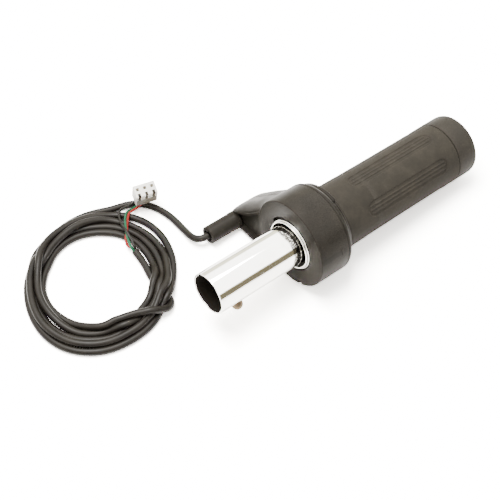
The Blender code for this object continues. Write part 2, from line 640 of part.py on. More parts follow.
# ---- connector: a three-way crimp housing that leans on the lead -----------------------------
ROW_PITCH = 3.96
PLUG_WIDTH = 11.9
PLUG_DEPTH = 7.0
PLUG_LENGTH = 12.0
PLUG_FACE = (-65.1, 69.2, 18.0)         # middle of the mating face
row_way = Vector((0.954, -0.30, 0)).normalized()
level = Vector((-0.30, -0.954, 0)).normalized()
PLUG_LEAN = radians(19)
mate_way = level * sin(PLUG_LEAN) + Vector((0, 0, 1)) * cos(PLUG_LEAN)
depth_way = mate_way.cross(row_way)
plug_axis = bpy.data.objects.new("plug_axis", None)
plug_turn = Matrix((row_way, depth_way, mate_way)).transposed()
plug_axis.matrix_world = Matrix.Translation(Vector(PLUG_FACE) * MM) @ plug_turn.to_4x4()
PARTS.objects.link(plug_axis)

plug = box("connector_housing", (PLUG_WIDTH, PLUG_DEPTH, PLUG_LENGTH), NYLON, parent=plug_axis,
           location=(0, 0, -PLUG_LENGTH / 2))
bevel(plug, 0.35, 1)
CAVITY = (2.5, 2.9)
for number, way in enumerate((-1, 0, 1), 1):
    cavity = box(f"cavity_{number}", (*CAVITY, PLUG_LENGTH + 4), None, parent=plug_axis,
                 location=(way * ROW_PITCH, 0.6, -PLUG_LENGTH / 2))
    combine(plug, cavity, "DIFFERENCE")
    window = box(f"window_{number}", (1.7, 3.0, 7.5), None, parent=plug_axis,
                 location=(way * ROW_PITCH, -PLUG_DEPTH / 2, -2.6))
    combine(plug, window, "DIFFERENCE")
    contact = box(f"terminal_{number}", (1.7, 1.9, 8.0), TIN, parent=plug_axis,
                  location=(way * ROW_PITCH, 0.6, -PLUG_LENGTH / 2 + 1.2))
    mouth_hole = box(f"terminal_mouth_{number}", (1.0, 1.2, 5.0), None, parent=plug_axis,
                     location=(way * ROW_PITCH, 0.6, -2.0))
    combine(contact, mouth_hole, "DIFFERENCE")

# ---- the three wires from the jacket's end over the coil to the connector --------------------
WIRE_ROUTES = {
    "wire_red": (WIRE_RED, (
        (-59.9, 72.6, 5.9), (-61.3, 71.1, 5.1), (-64.5, 70.8, 4.8), (-68.0, 71.2, 4.6),
        (-71.3, 71.4, 5.0), (-72.7, 71.3, 6.9), (-75.0, 70.4, 7.9), (-77.5, 68.9, 7.7),
        (-81.0, 65.2, 7.7), (-84.2, 61.0, 7.5), (-88.0, 57.3, 6.4), (-89.9, 53.8, 4.3),
        (-89.0, 50.9, 2.3))),
    "wire_green": (WIRE_GREEN, (
        (-63.65, 73.8, 5.9), (-65.0, 73.0, 5.1), (-67.3, 72.9, 4.9), (-70.0, 73.1, 4.9),
        (-72.0, 73.3, 5.6), (-73.7, 73.4, 6.9), (-76.8, 72.2, 8.1), (-80.7, 68.5, 8.1),
        (-83.9, 63.6, 8.8), (-86.2, 58.8, 9.0), (-87.2, 54.6, 6.9), (-87.6, 51.2, 3.7))),
    "wire_black": (WIRE_BLACK, (
        (-67.45, 74.95, 5.9), (-69.2, 75.3, 5.3), (-71.5, 75.8, 5.8), (-74.0, 76.2, 7.2),
        (-76.5, 76.2, 8.0), (-80.2, 74.4, 8.3), (-82.7, 70.0, 9.1), (-83.9, 64.6, 10.5),
        (-84.5, 59.2, 10.7), (-85.2, 54.6, 7.4), (-86.2, 51.2, 2.6))),
}
for name, (mat, route) in WIRE_ROUTES.items():
    wire(name, smooth_curve(route, 2.0), WIRE_R, mat)
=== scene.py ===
"""Plug-in twist throttle with its coiled cable, lying on a table."""
from math import atan2, cos, exp, pi, radians, sin, sqrt

import bmesh
import bpy
import numpy as np
from mathutils import Matrix, Vector


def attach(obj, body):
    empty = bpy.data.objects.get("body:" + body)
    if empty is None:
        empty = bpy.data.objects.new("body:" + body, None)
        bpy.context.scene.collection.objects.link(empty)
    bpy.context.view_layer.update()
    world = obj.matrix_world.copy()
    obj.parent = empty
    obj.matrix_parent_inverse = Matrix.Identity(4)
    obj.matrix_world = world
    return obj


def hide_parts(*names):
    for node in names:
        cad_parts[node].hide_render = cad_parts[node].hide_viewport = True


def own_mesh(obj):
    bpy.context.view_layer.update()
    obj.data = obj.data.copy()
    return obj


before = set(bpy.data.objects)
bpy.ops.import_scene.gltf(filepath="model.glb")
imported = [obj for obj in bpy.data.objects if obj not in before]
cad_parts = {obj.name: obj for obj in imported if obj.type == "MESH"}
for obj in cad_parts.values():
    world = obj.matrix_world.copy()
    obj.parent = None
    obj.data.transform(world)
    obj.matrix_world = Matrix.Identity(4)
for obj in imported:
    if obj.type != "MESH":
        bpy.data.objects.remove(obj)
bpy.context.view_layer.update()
MM = 0.001

# ---- viewpoint ---------------------------------------------------------------------------------
# A camera at arm's length, on the mouth side and the far side from the horn, looking down about
# 53 degrees along the grip.  Its 79 mm lens takes in the grip, the coil and the connector.
eye = Vector((-261.83, -256.28, 465.19)) * MM
looking = Vector((0.3825, 0.4630, -0.7996))
camera_data = bpy.data.cameras.new("camera")
camera_data.lens = 79.2
camera_data.sensor_width = 36.0
camera_data.clip_start = 0.01
camera = bpy.data.objects.new("camera", camera_data)
camera.location = eye
camera.rotation_mode = "QUATERNION"
camera.rotation_quaternion = looking.to_track_quat("-Z", "Y")
bpy.context.scene.collection.objects.link(camera)
bpy.context.scene.camera = camera

# ---- cable jacket ------------------------------------------------------------------------------
# One length of 3.9 mm round cable in a soft black vinyl jacket.  It leaves the horn's boss, turns
# to the coil, goes round 4.7 times and comes out from under the coil to its cut jacket end.
CABLE = 3.9
BEND_POINTS = [(-53.4, 31.0, 6.2), (-55.6, 31.0, 6.2), (-57.9, 31.9, 5.9), (-59.3, 34.2, 5.1),
               (-59.6, 37.5, 4.0), (-59.2, 42.0, 2.8), (-58.9, 47.5, 2.1), (-58.8, 53.0, 2.0),
               (-59.3, 58.5, 2.0), (-60.6, 64.3, 2.0), (-63.2, 70.0, 2.0), (-67.2, 75.2, 2.0),
               (-72.3, 79.4, 2.0)]
TAIL_POINTS = [(-122.3, 17.2, 6.2), (-116.3, 15.6, 8.6), (-109.8, 13.2, 9.2), (-103.2, 10.4, 7.6),
               (-97.4, 8.6, 4.2), (-93.0, 8.9, 2.2), (-90.6, 11.6, 2.0), (-90.3, 16.0, 2.0),
               (-90.9, 22.0, 2.0), (-90.9, 28.2, 2.0), (-89.8, 34.2, 2.0), (-88.6, 40.0, 2.0),
               (-87.9, 45.0, 2.1), (-87.5, 49.6, 2.4)]
COIL_CENTRE = (-111.6, 47.0)
COIL_OUTER = (-111.1, 46.9, 47.1, 39.0, 0.72)
COIL_INNER = (-112.3, 47.0, 30.3, 28.7, 1.10)


def reach(shape, angle):
    """How far an oval's edge is from the coil's centre, at an angle."""
    x, y, major, minor, turn = shape
    low, high = 0.0, 90.0
    for _ in range(30):
        middle = (low + high) / 2
        px = COIL_CENTRE[0] + middle * cos(angle) - x
        py = COIL_CENTRE[1] + middle * sin(angle) - y
        u = px * cos(turn) + py * sin(turn)
        v = -px * sin(turn) + py * cos(turn)
        if (u / major) ** 2 + (v / minor) ** 2 < 1:
            low = middle
        else:
            high = middle
    return low


def through(points, step):
    """Points about a step apart on one smooth curve through the given points."""
    knots = [Vector(p) for p in [points[0]] + list(points) + [points[-1]]]
    line = []
    for a, b, c, d in zip(knots, knots[1:], knots[2:], knots[3:]):
        count = max(1, round((c - b).length / step))
        for i in range(count):
            t = i / count
            line.append(0.5 * (2 * b + (c - a) * t + (2 * a - 5 * b + 4 * c - d) * t ** 2
                               + (3 * b - a - 3 * c + d) * t ** 3))
    return line + [knots[-1]]


# How far in each turn lies, from the coil's outer edge (0) to its inner edge (1), and how many
# cables lie under it, at eight places round each turn.  The second turn lies over the others on
# one side, and the last one crosses them all to the outside, where the tail turns back.
TURN_PLACES = [50.3, 95.3, 140.3, 185.3, 230.3, 275.3, 320.3, 365.3]
TURN_SHARES = [(0.00, 0.00, 0.05, 0.00, 0.00, 0.00, 0.00, 0.00),
               (0.20, 0.30, 0.72, 0.90, 0.86, 0.70, 0.66, 0.76),
               (0.78, 0.52, 0.26, 0.17, 0.20, 0.28, 0.34, 0.52),
               (0.56, 0.62, 0.46, 0.36, 0.42, 0.92, 0.98, 1.00),
               (1.00, 1.00, 1.00, 1.00, 0.94, 0.60, 0.60, 0.60)]
TURN_LIFTS = [(0.0, 0.0, 0.0, 0.0, 0.0, 1.0, 0.3, 0.0),
              (0.6, 1.7, 1.5, 0.6, 0.7, 1.0, 0.6, 0.4),
              (0.3, 0.5, 0.7, 0.6, 0.6, 1.2, 0.8, 0.5),
              (0.6, 0.6, 0.8, 0.3, 0.2, 1.0, 0.4, 0.1),
              (0.1, 0.2, 0.0, 0.0, 1.0, 1.8, 1.8, 1.8)]
places = []
shares = []
lifts = []
for number in range(5):
    for place, share, lift in zip(TURN_PLACES, TURN_SHARES[number], TURN_LIFTS[number]):
        places.append(place + 360 * number)
        shares.append(share)
        lifts.append(lift)
COIL_START = 47
COIL_END = 4 * 360 + 243
COIL_STEP = 6
coil_points = []
for angle in range(COIL_START, COIL_END, COIL_STEP):
    share = float(np.interp(angle, places, shares))
    lift = float(np.interp(angle, places, lifts))
    outer = reach(COIL_OUTER, radians(angle)) - CABLE / 2
    inner = reach(COIL_INNER, radians(angle)) + CABLE / 2
    out = outer + (inner - outer) * share
    coil_points.append((COIL_CENTRE[0] + out * cos(radians(angle)),
                        COIL_CENTRE[1] + out * sin(radians(angle)), CABLE * (0.5 + lift)))
SPACING = 2.6
SETTLING_STEPS = 60
line = np.array(through(BEND_POINTS + coil_points[::4] + TAIL_POINTS, SPACING))

# let the turns settle: each point is drawn to its place and down to the table, kept in line with
# its neighbours, and pushed off every other stretch of cable that it touches
wanted = line.copy()
count = len(line)
near = np.abs(np.subtract.outer(np.arange(count), np.arange(count))) < 4
hold = np.full(count, 0.04)
hold[:len(through(BEND_POINTS, SPACING)) - 3] = 1.0
hold[-6:] = 1.0
for step in range(SETTLING_STEPS):
    line[:, 2] -= 0.05 * (hold < 1)
    line[:, :2] += (wanted - line)[:, :2] * hold[:, None]
    line[hold == 1] = wanted[hold == 1]
    middle = line.copy()
    middle[1:-1] = (line[:-2] + line[2:]) / 2
    line += (middle - line) * 0.35 * (hold < 1)[:, None]
    for again in range(2):
        gap = line[:, None, :] - line[None, :, :]
        away = np.sqrt((gap ** 2).sum(axis=2)) + 1e-9
        push = np.where(near | (away > CABLE), 0.0, (CABLE - away) * 0.42)
        move = (gap / away[:, :, None] * push[:, :, None]).sum(axis=1)
        line += move * (hold < 1)[:, None]
        line[:, 2] = np.maximum(line[:, 2], CABLE / 2 + 0.03)

cable_curve = bpy.data.curves.new("cable", "CURVE")
cable_curve.dimensions = "3D"
cable_curve.bevel_depth = CABLE / 2 * MM
cable_curve.bevel_resolution = 5
cable_curve.use_fill_caps = True
cable_curve.resolution_u = 2
spline = cable_curve.splines.new("NURBS")
spline.points.add(count - 1)
for point, co in zip(spline.points, line):
    point.co = (*(co * MM), 1)
spline.order_u = 4
spline.use_endpoint_u = True
spline.use_smooth = True
cable = bpy.data.objects.new("cable", cable_curve)
bpy.context.scene.collection.objects.link(cable)


def new_material(name, color, roughness, metallic=0.0):
    """A Principled material; returns it with its shader node."""
    mat = bpy.data.materials.new(name)
    mat.use_nodes = True
    shader = mat.node_tree.nodes["Principled BSDF"]
    shader.inputs["Base Color"].default_value = (*color, 1)
    shader.inputs["Roughness"].default_value = roughness
    shader.inputs["Metallic"].default_value = metallic
    return mat, shader


def give(obj, mat):
    obj.data.materials.clear()
    obj.data.materials.append(mat)


def add(tree, kind, feeds, **settings):
    """A shader node with its settings; each feed is a value or another node's output."""
    made = tree.nodes.new("ShaderNode" + kind)
    for key, value in settings.items():
        setattr(made, key, value)
    for key, value in feeds.items():
        if isinstance(value, bpy.types.NodeSocket):
            tree.links.new(value, made.inputs[key])
        else:
            made.inputs[key].default_value = value
    return made


def effect(name, inputs):
    """A shared effect: named inputs, and a colour, a roughness and a normal as its outputs."""
    group = bpy.data.node_groups.new(name, "ShaderNodeTree")
    for label, value in inputs:
        kind = "NodeSocketColor" if isinstance(value, tuple) else "NodeSocketFloat"
        group.interface.new_socket(label, in_out="INPUT", socket_type=kind).default_value = value
    for label, kind in (("Color", "Color"), ("Roughness", "Float"), ("Normal", "Vector")):
        group.interface.new_socket(label, in_out="OUTPUT", socket_type="NodeSocket" + kind)
    return group, group.nodes.new("NodeGroupInput").outputs, group.nodes.new("NodeGroupOutput")


def mixed(tree, factor, first, second, kind="MIX"):
    """Mix two colours and give back the resulting socket."""
    mixer = tree.nodes.new("ShaderNodeMix")
    mixer.data_type = "RGBA"
    mixer.blend_type = kind
    for slot, value in ((0, factor), (6, first), (7, second)):
        if isinstance(value, bpy.types.NodeSocket):
            tree.links.new(value, mixer.inputs[slot])
        else:
            mixer.inputs[slot].default_value = value
    return mixer.outputs[2]


def maths(tree, operation, first, second):
    return add(tree, "Math", {0: first, 1: second}, operation=operation).outputs[0]


def window(tree, value, low, high, out_low=0.0, out_high=1.0):
    """Carry a value from one range to another, clamped at both ends."""
    return add(tree, "MapRange", {0: value, 1: low, 2: high, 3: out_low, 4: out_high}).outputs[0]


# the finish of every moulded or rubber piece: a fine grain, clouded tone, rubbed edges and dust
moulded, given, ends = effect("moulded_skin", [
    ("Color", (0.02, 0.02, 0.02, 1)), ("Worn Color", (0.055, 0.05, 0.043, 1)),
    ("Dust Color", (0.13, 0.118, 0.097, 1)), ("Roughness", 0.4), ("Grain Size", 2600.0),
    ("Grain Depth", 0.25), ("Wear", 0.5), ("Dust", 0.3)])
here = add(moulded, "TexCoord", {}).outputs["Object"]
grain = add(moulded, "TexNoise", {"Vector": here, "Scale": given["Grain Size"], "Detail": 3.0,
                                  "Roughness": 0.6}).outputs[0]
cloud = add(moulded, "TexNoise", {"Vector": here, "Scale": 95.0, "Detail": 6.0,
                                  "Roughness": 0.62}).outputs[0]
specks = add(moulded, "TexVoronoi", {"Vector": here, "Scale": 720.0}).outputs["Distance"]
settled = maths(moulded, "MULTIPLY", window(moulded, specks, 0.17, 0.07),
                window(moulded, cloud, 0.50, 0.62))
film = maths(moulded, "MULTIPLY", window(moulded, cloud, 0.46, 0.72), 0.10)
dusty = maths(moulded, "MULTIPLY", maths(moulded, "MAXIMUM", settled, film), given["Dust"])
edges = add(moulded, "NewGeometry", {}).outputs["Pointiness"]
rubbed = maths(moulded, "MULTIPLY", window(moulded, edges, 0.51, 0.60),
               window(moulded, grain, 0.35, 0.62))
tone = add(moulded, "CombineColor", {0: window(moulded, cloud, 0.3, 0.7, 0.80, 1.16),
                                     1: window(moulded, cloud, 0.3, 0.7, 0.80, 1.14),
                                     2: window(moulded, cloud, 0.3, 0.7, 0.80, 1.10)}).outputs[0]
base = mixed(moulded, 1.0, given["Color"], tone, "MULTIPLY")
base = mixed(moulded, maths(moulded, "MULTIPLY", rubbed, given["Wear"]), base, given["Worn Color"])
moulded.links.new(mixed(moulded, dusty, base, given["Dust Color"]), ends.inputs["Color"])
uneven = maths(moulded, "ADD", given["Roughness"], window(moulded, cloud, 0.3, 0.7, -0.07, 0.09))
moulded.links.new(maths(moulded, "ADD", uneven, maths(moulded, "MULTIPLY", dusty, 0.3)),
                  ends.inputs["Roughness"])
bump = add(moulded, "Bump", {"Strength": given["Grain Depth"], "Distance": 0.00012,
                             "Height": grain})
moulded.links.new(bump.outputs[0], ends.inputs["Normal"])


def skin(pair, group, **values):
    """Put an effect in front of a material's shader, starting from its own colour and roughness."""
    mat, shader = pair
    coat = mat.node_tree.nodes.new("ShaderNodeGroup")
    coat.node_tree = group
    coat.inputs["Color"].default_value = shader.inputs["Base Color"].default_value
    coat.inputs["Roughness"].default_value = shader.inputs["Roughness"].default_value
    for key, value in values.items():
        if isinstance(value, tuple):
            value = (*value, 1)
        coat.inputs[key.replace("_", " ").title()].default_value = value
    for source, target in (("Color", "Base Color"), ("Roughness", "Roughness"), ("Normal", "Normal")):
        mat.node_tree.links.new(coat.outputs[source], shader.inputs[target])
    return coat


jacket, jacket_shader = new_material("black_vinyl_jacket", (0.0085, 0.0072, 0.0058), 0.34)
jacket_shader.inputs["Specular IOR Level"].default_value = 0.10
skin((jacket, jacket_shader), moulded, grain_size=3400.0, grain_depth=0.12, wear=0.0, dust=0.22)
give(cable, jacket)
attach(cable, "housing")
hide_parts("cable_lead", "cable_coil", "cable_tail")

# ---- wires -------------------------------------------------------------------------------------
# Red, green and black wires, 1.4 mm over their vinyl, come out of the cut jacket, twist once
# round each other, climb over the coil and go up into the back of the connector.
WIRE = 1.4
PITCH = 3.96
ROW = Vector((0.954, -0.300, 0.0)).normalized()
MATE = Vector((-0.300, -0.954, 0.0)).normalized() * sin(radians(19)) + Vector((0, 0, cos(radians(19))))
DEEP = MATE.cross(ROW)
PLUG_FACE = Vector((-65.1, 69.2, 18.0))


def in_plug(row, deep, back):
    """A point of the connector: along its row, away from the eye, and back from its open face."""
    return PLUG_FACE + ROW * row + DEEP * deep - MATE * back


wire_ways = (
    ("wire_red", (0.23, 0.016, 0.014), PITCH, [
        (-87.9, 48.2, 2.1), (-88.3, 50.8, 2.0), (-88.8, 54.0, 0), (-87.5, 57.8, 0),
        (-84.6, 61.0, 0), (-80.6, 65.9, 0), (-76.8, 70.0, 0), (-73.0, 71.6, 0)]),
    ("wire_green", (0.010, 0.085, 0.040), 0.0, [
        (-87.4, 48.3, 3.0), (-88.8, 50.2, 3.2), (-87.6, 54.4, 0), (-85.6, 59.4, 0),
        (-82.6, 64.6, 0), (-79.4, 69.2, 0), (-76.0, 72.4, 0), (-72.6, 73.2, 0)]),
    ("wire_black", (0.008, 0.007, 0.006), -PITCH, [
        (-87.0, 48.4, 2.4), (-87.0, 50.8, 3.6), (-86.0, 54.0, 0), (-85.4, 58.6, 0),
        (-84.3, 64.4, 0), (-82.4, 70.0, 0), (-79.9, 74.4, 0), (-76.8, 76.2, 0),
        (-73.0, 76.0, 0)]),
)
under = [tuple(p) + (CABLE / 2,) for p in line]
for name, color, row, way in wire_ways:
    rough = through([(x, y, z) for x, y, z in way]
                    + [tuple(in_plug(row - 2.6, -0.6, 13.6)), tuple(in_plug(row - 0.5, 0.4, 13.0)),
                       tuple(in_plug(row, 0.6, 11.6))], 0.9)
    plan = np.array(rough)
    free = len(plan)
    needed = np.full(free, WIRE / 2 + 0.05)
    blocks = np.array(under)
    for i in range(free - 9):
        flat = np.sqrt(((blocks[:, :2] - plan[i, :2]) ** 2).sum(axis=1))
        room = blocks[:, 3] + WIRE / 2 + 0.05
        over = flat < room
        if over.any():
            needed[i] = (blocks[over, 2] + np.sqrt(room[over] ** 2 - flat[over] ** 2)).max()
    needed[-9:] = plan[-9:, 2]
    needed[:3] = plan[:3, 2]
    height = needed.copy()
    for _ in range(60):
        soft = height.copy()
        soft[1:-1] = (height[:-2] + height[1:-1] * 2 + height[2:]) / 4
        height = np.maximum(soft, needed)
        height[-9:] = needed[-9:]
        height[:3] = needed[:3]
    plan[:, 2] = height
    under += [tuple(p) + (WIRE / 2,) for p in plan[:-6]]
    wire_curve = bpy.data.curves.new(name + "_line", "CURVE")
    wire_curve.dimensions = "3D"
    wire_curve.bevel_depth = WIRE / 2 * MM
    wire_curve.bevel_resolution = 4
    wire_curve.use_fill_caps = True
    wire_curve.resolution_u = 2
    spline = wire_curve.splines.new("NURBS")
    spline.points.add(len(plan) - 1)
    for point, co in zip(spline.points, plan):
        point.co = (*(co * MM), 1)
    spline.order_u = 4
    spline.use_endpoint_u = True
    wire = bpy.data.objects.new(name + "_insulation", wire_curve)
    bpy.context.scene.collection.objects.link(wire)
    insulation, insulation_shader = new_material(name + "_vinyl", color, 0.32)
    insulation_shader.inputs["Specular IOR Level"].default_value = 0.13
    skin((insulation, insulation_shader), moulded, grain_size=5200.0, grain_depth=0.08, wear=0.0,
         dust=0.12)
    give(wire, insulation)
    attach(wire, "housing")
    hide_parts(name)

# ---- connector ---------------------------------------------------------------------------------
# A three-way crimp housing in natural nylon, 3.96 mm between ways.  Three square mouths in its
# face, and a ledge with three windows on the side towards the eye, where the contacts lock.
def deselect():
    for other in list(bpy.context.selected_objects):
        other.select_set(False)


def only(obj):
    deselect()
    obj.select_set(True)
    bpy.context.view_layer.objects.active = obj


def block(name, size, centre, turn=None):
    """A box of that size, in mm, put at its place by its matrix."""
    deselect()
    bpy.ops.mesh.primitive_cube_add(size=1.0, location=(0, 0, 0))
    obj = bpy.context.object
    obj.name = name
    spread = Matrix.Diagonal((size[0] * MM, size[1] * MM, size[2] * MM, 1))
    at = Matrix.Translation(Vector(centre) * MM)
    obj.data.transform((turn or Matrix()) @ at @ spread)
    return obj


def apply_modifier(obj, kind, **settings):
    only(obj)
    modifier = obj.modifiers.new(kind.lower(), kind)
    for key, value in settings.items():
        setattr(modifier, key, value)
    bpy.ops.object.modifier_apply(modifier=modifier.name)


def cut(obj, tool, operation="DIFFERENCE"):
    """Cut, join or keep with a tool, which is used up."""
    apply_modifier(obj, "BOOLEAN", operation=operation, solver="EXACT", object=tool)
    bpy.data.objects.remove(tool, do_unlink=True)


def soften(obj, width, segments=3, angle=40):
    apply_modifier(obj, "BEVEL", width=width * MM, segments=segments, limit_method="ANGLE",
                   angle_limit=radians(angle))


def shade(obj, angle=30):
    only(obj)
    bpy.ops.object.shade_smooth_by_angle(angle=radians(angle))


PLUG_TURN = Matrix.Translation(PLUG_FACE * MM) @ Matrix((ROW, DEEP, MATE)).transposed().to_4x4()
shell = block("connector_shell", (11.9, 7.0, 12.0), (0, 0, -6.0), PLUG_TURN)
soften(shell, 0.35, 3)
cut(shell, block("ledge_recess", (10.9, 1.4, 3.0), (0, -3.4, -3.4), PLUG_TURN))
for way in (-1, 0, 1):
    cut(shell, block("mouth", (1.6, 1.6, 9.0), (way * PITCH, 0.95, -2.0), PLUG_TURN))
    cut(shell, block("window", (1.5, 3.2, 6.2), (way * PITCH, -3.1, -2.2), PLUG_TURN))
    cut(shell, block("wire_entry", (2.4, 2.4, 5.0), (way * PITCH, 0.6, -11.0), PLUG_TURN))
shade(shell)
nylon, nylon_shader = new_material("natural_nylon", (0.95, 0.93, 0.87), 0.42)
nylon_shader.inputs["Subsurface Weight"].default_value = 0.15
nylon_shader.inputs["Subsurface Radius"].default_value = (0.002, 0.0016, 0.0012)
skin((nylon, nylon_shader), moulded, worn_color=(0.86, 0.84, 0.80), dust_color=(0.50, 0.42, 0.30),
     grain_size=3000.0, grain_depth=0.10, wear=0.35, dust=0.38)
give(shell, nylon)
# the faces deep inside the mouths and windows get a dark brown colour: painted shade in the holes, not
# a colour of the nylon
painted_hole_shade, shade_in_shader = new_material("nylon_painted_hole_shade", (0.10, 0.085, 0.06), 0.6)
skin((painted_hole_shade, shade_in_shader), moulded, grain_size=3000.0, dust=0.2, wear=0.0)
shell.data.materials.append(painted_hole_shade)
to_plug = PLUG_TURN.inverted()
for face in shell.data.polygons:
    spot = to_plug @ face.center / MM
    aside = abs((spot.x + PITCH / 2) % PITCH - PITCH / 2)
    in_mouth = abs(spot.y - 0.95) < 0.85
    in_window = -4.0 < spot.y < -1.4
    if aside < 0.85 and -11 < spot.z < -0.3 and (in_mouth or in_window):
        face.material_index = 1
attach(shell, "housing")
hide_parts("connector_housing")

# the finish of every metal piece: drawn streaks along its length, pits, and a smudged film
metal, given, ends = effect("metal_skin", [
    ("Color", (0.6, 0.6, 0.6, 1)), ("Pit Color", (0.10, 0.08, 0.05, 1)), ("Roughness", 0.2),
    ("Streak Size", 2200.0), ("Streak Depth", 0.05), ("Pits", 0.5), ("Smudge", 0.3)])
here = add(metal, "TexCoord", {}).outputs["Object"]
drawn = add(metal, "Mapping", {"Vector": here, "Scale": (0.05, 1.0, 1.0)}).outputs[0]
streak = add(metal, "TexNoise", {"Vector": drawn, "Scale": given["Streak Size"],
                                 "Detail": 2.0}).outputs[0]
cloud = add(metal, "TexNoise", {"Vector": here, "Scale": 130.0, "Detail": 6.0,
                                "Roughness": 0.65}).outputs[0]
cells = add(metal, "TexVoronoi", {"Vector": here, "Scale": 1300.0}).outputs["Distance"]
pits = maths(metal, "MULTIPLY", window(metal, cells, 0.24, 0.12), window(metal, cloud, 0.50, 0.60))
pits = maths(metal, "MULTIPLY", pits, given["Pits"])
film = maths(metal, "MULTIPLY", window(metal, cloud, 0.45, 0.68), given["Smudge"])
tone = mixed(metal, maths(metal, "MULTIPLY", film, 0.35), given["Color"], given["Pit Color"])
metal.links.new(mixed(metal, pits, tone, given["Pit Color"]), ends.inputs["Color"])
dull = maths(metal, "ADD", given["Roughness"], maths(metal, "MULTIPLY", film, 0.22))
dull = maths(metal, "ADD", dull, maths(metal, "MULTIPLY", pits, 0.35))
metal.links.new(maths(metal, "ADD", dull, window(metal, streak, 0.3, 0.7, 0.0, 0.05)),
                ends.inputs["Roughness"])
relief = add(metal, "Bump", {"Strength": given["Streak Depth"], "Distance": 0.00006,
                             "Height": maths(metal, "SUBTRACT", streak, pits)})
metal.links.new(relief.outputs[0], ends.inputs["Normal"])
# the tinned contacts are coloured far darker than bright tin: painted shade for where they sit deep in
# the connector's mouths
tin, tin_shader = new_material("tin_contact_painted_shade", (0.16, 0.135, 0.09), 0.5, 1.0)
skin((tin, tin_shader), metal, pits=0.4, smudge=0.7, streak_depth=0.2)
for number in (1, 2, 3):
    give(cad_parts[f"terminal_{number}"], tin)
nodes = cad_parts

# ---- chromed bar tube --------------------------------------------------------------------------
# 22.2 mm steel tube with a 1 mm wall, chromed outside, its mouth lightly chamfered.  Its bore is
# painted near-black as the shade inside it, and a dark speckled band painted where it enters the
# drum stands in for the drum's reflection in the chrome.  The whole throttle is built on it, so it
# carries every other piece's place.
TILT = atan2(24.4 - 17.35, 169 - 71.5)
FAR_X = 172 * cos(TILT) + 15.2 * sin(TILT)
NEAR_X = -11.1 * sin(TILT)
MOUTH = Vector((-(FAR_X + NEAR_X) / 2, -(42.5 + 5.1 - 24.4) / 2, 24.4 * cos(TILT) + 71.5 * sin(TILT)))
TUBE = Matrix.Translation(MOUTH * MM) @ Matrix.Rotation(TILT, 4, "Y")


def turned_piece(name, outline, steps=160, close=True, across=0.0, up=0.0):
    """Spin a (station, radius) outline about the tube's line, or about one beside it."""
    deselect()
    mesh = bpy.data.meshes.new(name)
    edges = [(i, i + 1) for i in range(len(outline) - 1)]
    if close:
        edges.append((len(outline) - 1, 0))
    mesh.from_pydata([(station * MM, 0, radius * MM) for station, radius in outline], edges, [])
    obj = bpy.data.objects.new(name, mesh)
    bpy.context.scene.collection.objects.link(obj)
    only(obj)
    bpy.ops.object.mode_set(mode="EDIT")
    bpy.ops.mesh.select_all(action="SELECT")
    bpy.ops.mesh.spin(steps=steps, angle=2 * pi, center=(0, 0, 0), axis=(1, 0, 0))
    bpy.ops.mesh.select_all(action="SELECT")
    bpy.ops.mesh.remove_doubles(threshold=0.000004)
    bpy.ops.mesh.normals_make_consistent(inside=False)
    bpy.ops.object.mode_set(mode="OBJECT")
    obj.data.transform(Matrix.Translation((0, across * MM, up * MM)))
    return obj


def bar(name, radius, start, end, across=0.0, up=0.0, sides=48):
    """A solid round tool along the tube's line."""
    return turned_piece(name, [(start, 0), (start, radius), (end, radius), (end, 0)], sides,
                        False, across, up)


def spoke(name, radius, low, high, station, angle, sides=40):
    """A round tool that stands out from the tube's line."""
    tool = turned_piece(name, [(low, 0), (low, radius), (high, radius), (high, 0)], sides, False)
    tool.data.transform(Matrix.Translation((station * MM, 0, 0))
                        @ Matrix.Rotation(angle - pi / 2, 4, "X")
                        @ Matrix.Rotation(-pi / 2, 4, "Y"))
    return tool


def on_tube(obj, body, slot_name, *replaced):
    obj.data.transform(TUBE)
    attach(obj, body)
    if replaced:
        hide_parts(*replaced)


BUTTON_ANGLE = radians(232)
tube = turned_piece("tube_chromed", [
    (157.5, 11.1), (0.35, 11.1), (0.12, 11.02), (0.0, 10.8), (0.0, 10.35), (0.12, 10.18),
    (0.4, 10.1), (157.5, 10.1)], 192)
cut(tube, spoke("button_hole", 3.2, 5, 20, 12.5, BUTTON_ANGLE))
shade(tube, 25)
chrome, chrome_shader = new_material("chrome", (0.93, 0.92, 0.885), 0.035, 1.0)
chrome_skin = skin((chrome, chrome_shader), metal, pit_color=(0.16, 0.13, 0.085),
                   streak_size=2600.0, streak_depth=0.035, pits=0.75, smudge=0.25)
plate = chrome.node_tree
here = add(plate, "TexCoord", {}).outputs["Object"]
along = add(plate, "VectorMath", {0: here, 1: TUBE.to_3x3() @ Vector((1, 0, 0))},
            operation="DOT_PRODUCT").outputs["Value"]
from_mouth = maths(plate, "SUBTRACT", along, MOUTH.dot(TUBE.to_3x3() @ Vector((1, 0, 0))) * MM)
# a dark speckled band from about 46 mm past the mouth up to the drum is a painted reflection of the
# drum, mixed into the chrome's colour
wavy = add(plate, "TexNoise", {"Vector": here, "Scale": 160.0, "Detail": 5.0}).outputs[0]
fine = add(plate, "TexNoise", {"Vector": here, "Scale": 1500.0, "Detail": 2.0}).outputs[0]
reached = maths(plate, "ADD", from_mouth, window(plate, wavy, 0.3, 0.7, -0.9 * MM, 0.9 * MM))
painted_drum_reflection = maths(plate, "MULTIPLY", window(plate, reached, 45.4 * MM, 46.3 * MM),
              window(plate, fine, 0.66, 0.50, 0.45, 1.0))
plate.links.new(mixed(plate, painted_drum_reflection, chrome_skin.outputs["Color"], (0.050, 0.047, 0.040, 1)),
                chrome_shader.inputs["Base Color"])
